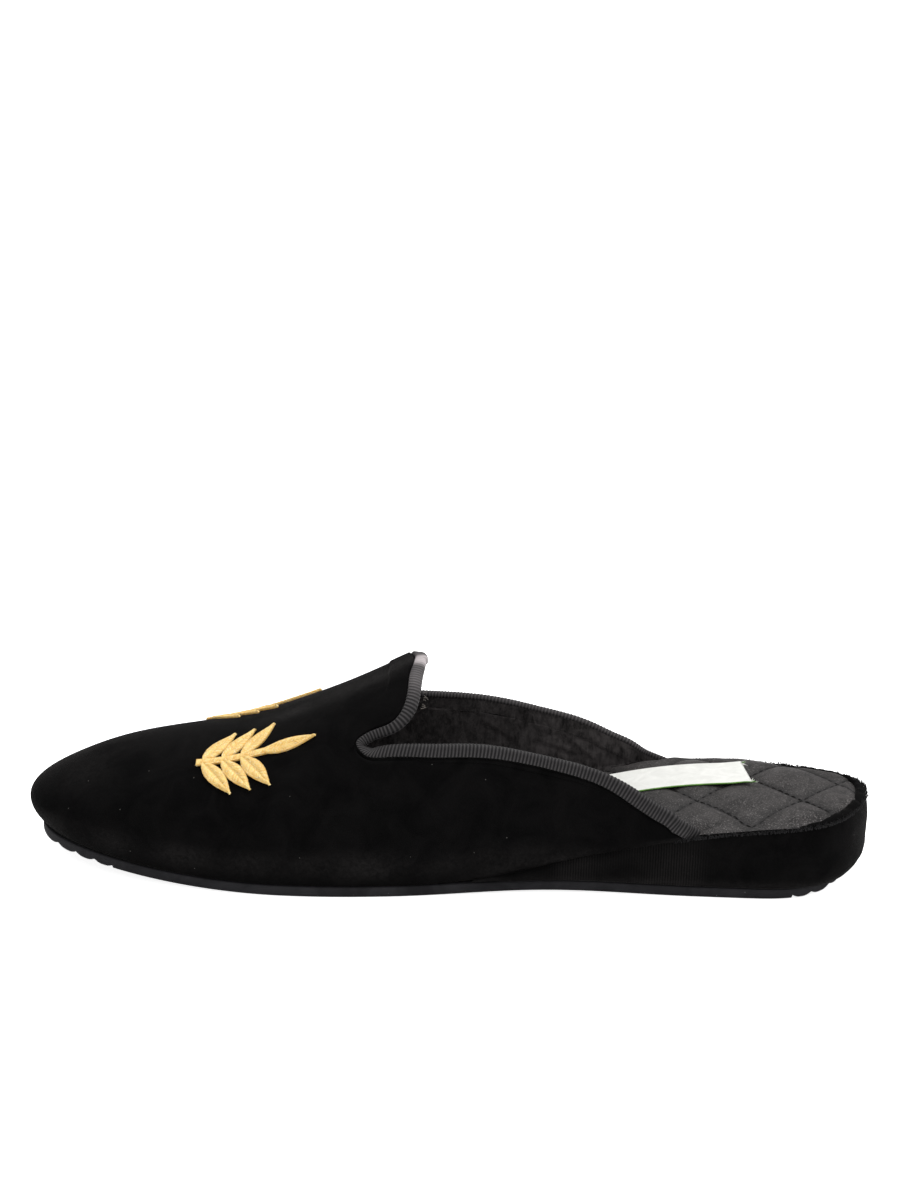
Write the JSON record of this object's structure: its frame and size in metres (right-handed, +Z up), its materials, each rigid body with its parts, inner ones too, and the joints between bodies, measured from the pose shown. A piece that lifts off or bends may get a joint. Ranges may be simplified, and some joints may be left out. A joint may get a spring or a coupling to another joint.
{
  "type": "slipper",
  "caption": "Backless black velvet slipper for the right foot: tongued vamp with gold sprigs, grosgrain binding, quilted satin sock, covered heel wedge and thin rubber outsole.",
  "frame": {"origin": "The middle of the shoe's box seen from above, on the floor it stands on.", "axes": "The toe points to -X and the heel to +X, the medial side is -Y and the lateral side +Y, and +Z is up."},
  "size_m": [0.2518, 0.0842, 0.0649],
  "materials": {
    "rubber": "matt black, lightly greyed",
    "velvet": "short-pile black velvet",
    "satin": "quilted black satin",
    "grosgrain": "ribbed black grosgrain",
    "gold_thread": "gold satin stitch",
    "white_tape": "plain woven tape"
  },
  "bodies": {
    "root": {"outsole": "rubber", "heel_wedge": "velvet", "quilted_sock": "satin", "upper": "velvet", "binding": "grosgrain", "sprig_medial": "gold_thread", "sprig_lateral": "gold_thread", "woven_tape": "white_tape"}
  },
  "joints": []
}
